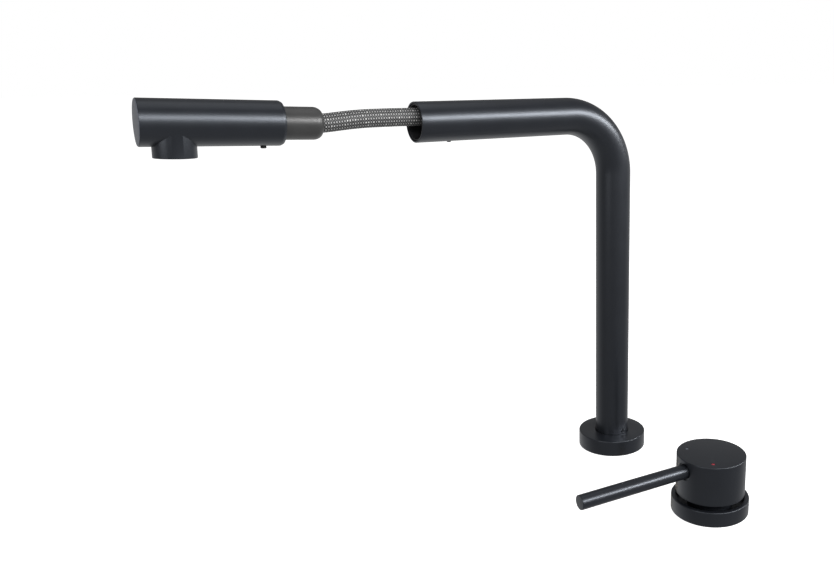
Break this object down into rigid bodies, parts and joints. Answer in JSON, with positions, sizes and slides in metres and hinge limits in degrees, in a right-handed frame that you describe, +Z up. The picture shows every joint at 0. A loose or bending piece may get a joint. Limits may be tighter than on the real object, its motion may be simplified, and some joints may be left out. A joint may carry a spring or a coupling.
{
  "type": "pull-out kitchen mixer tap",
  "caption": "Pull-out kitchen mixer tap: L-shaped swivel spout, spray head on a braided hose, and a separate single-lever mixer.",
  "frame": {"origin": "centre of the spout's hole in the worktop, on the worktop's top face", "axes": "+Z up, the arm points along -X, the mixer stands towards -Y"},
  "size_m": [0.3738, 0.1888, 0.6687],
  "materials": {
    "matte_black": "matte black coating",
    "dark_grey": "satin dark grey",
    "satin_grey": "satin grey",
    "braid": "grey braided nylon with pale flecks",
    "brass": "machined brass",
    "steel": "stainless steel",
    "rubber": "black rubber",
    "white_plastic": "moulded acetal",
    "black_plastic": "moulded black plastic",
    "cast_iron": "cast metal",
    "hot_red": "red enamel",
    "cold_blue": "pale blue enamel"
  },
  "bodies": {
    "root": {"spout_gasket": "rubber", "spout_flange": "matte_black", "spout_shank": "brass", "lower_glide_ring": "white_plastic", "upper_glide_ring": "white_plastic", "journal_o_ring": "rubber", "swivel_circlip": "steel", "hose_guide": "white_plastic", "spout_rubber_washer": "rubber", "spout_steel_washer": "steel", "spout_fixing_nut": "brass", "mixer_gasket": "rubber", "mixer_flange": "matte_black", "mixer_body": "matte_black", "hot_inlet": "brass", "cold_inlet": "brass", "outlet_nipple": "brass", "hose_coupling": "brass", "cartridge_body": "white_plastic", "cartridge_nut": "brass", "mixer_rubber_washer": "rubber", "mixer_steel_washer": "steel", "mixer_fixing_nut": "brass", "hose_tail": "braid"},
    "spout": {"spout_tube": "matte_black", "swivel_bush": "brass", "column_grub_screw": "matte_black", "arm_collar": "black_plastic", "collar_set_screw": "matte_black", "hose_riser": "braid", "hose_reach": "braid"},
    "hose_end": {"hose_ferrule": "steel"},
    "hose_swivel": {"hose_nut": "brass"},
    "head": {"head_shell": "matte_black", "head_end_cap": "dark_grey", "neck": "satin_grey", "neck_set_screw": "rubber", "waterway": "white_plastic", "check_valve": "black_plastic", "neck_seal": "rubber", "aerator_housing": "black_plastic", "aerator_gasket": "rubber", "aerator_insert": "white_plastic"},
    "hose_loop": {"hose_weight_upper": "cast_iron", "hose_weight_lower": "cast_iron", "hose_weight_screw_near": "steel", "hose_weight_screw_far": "steel"},
    "turret": {"cartridge_turret": "black_plastic"},
    "handle": {"cartridge_stem": "steel", "handle_hub": "cast_iron", "handle_cap": "matte_black", "lever_rod": "matte_black", "cap_grub_screw": "matte_black", "hot_mark": "hot_red", "cold_mark": "cold_blue"}
  },
  "joints": [
    {"name": "spout_swivel", "type": "hinge", "parent": "root", "child": "spout", "pos_m": [0, 0, 0.02], "axis": [0, 0, 1], "range_deg": [-60, 60]},
    {"name": "head_pull", "type": "slide", "parent": "spout", "child": "hose_end", "axis": [-0.9997, 0, 0.0234], "range_m": [-0.0894, 0.25], "deforming": ["hose_reach"]},
    {"name": "head_tilt", "type": "hinge", "parent": "hose_end", "child": "hose_swivel", "pos_m": [-0.24781, 0, 0.28609], "axis": [0, 1, 0], "range_deg": [-2.5, 7]},
    {"name": "head_roll", "type": "hinge", "parent": "hose_swivel", "child": "head", "pos_m": [-0.2624, 0, 0.2867], "axis": [-0.9991, 0, 0.0419], "range_deg": [-90, 90]},
    {"name": "weight_rise", "type": "slide", "parent": "root", "child": "hose_loop", "axis": [0, 0, 1], "range_m": [-0.046, 0.126], "deforming": ["hose_tail"]},
    {"name": "handle_turn", "type": "hinge", "parent": "root", "child": "turret", "pos_m": [-0.0095, -0.1318, 0.02], "axis": [0, 0, 1], "range_deg": [-50, 50]},
    {"name": "handle_lift", "type": "hinge", "parent": "turret", "child": "handle", "pos_m": [-0.0095, -0.1318, 0.02], "axis": [0.0715, 0.9974, 0], "range_deg": [0, 20]}
  ],
  "couplings": [
    {"joint": "head_tilt", "follows": "head_pull", "rad_per_m": 0.46854},
    {"joint": "weight_rise", "follows": "head_pull", "ratio": 0.5}
  ]
}
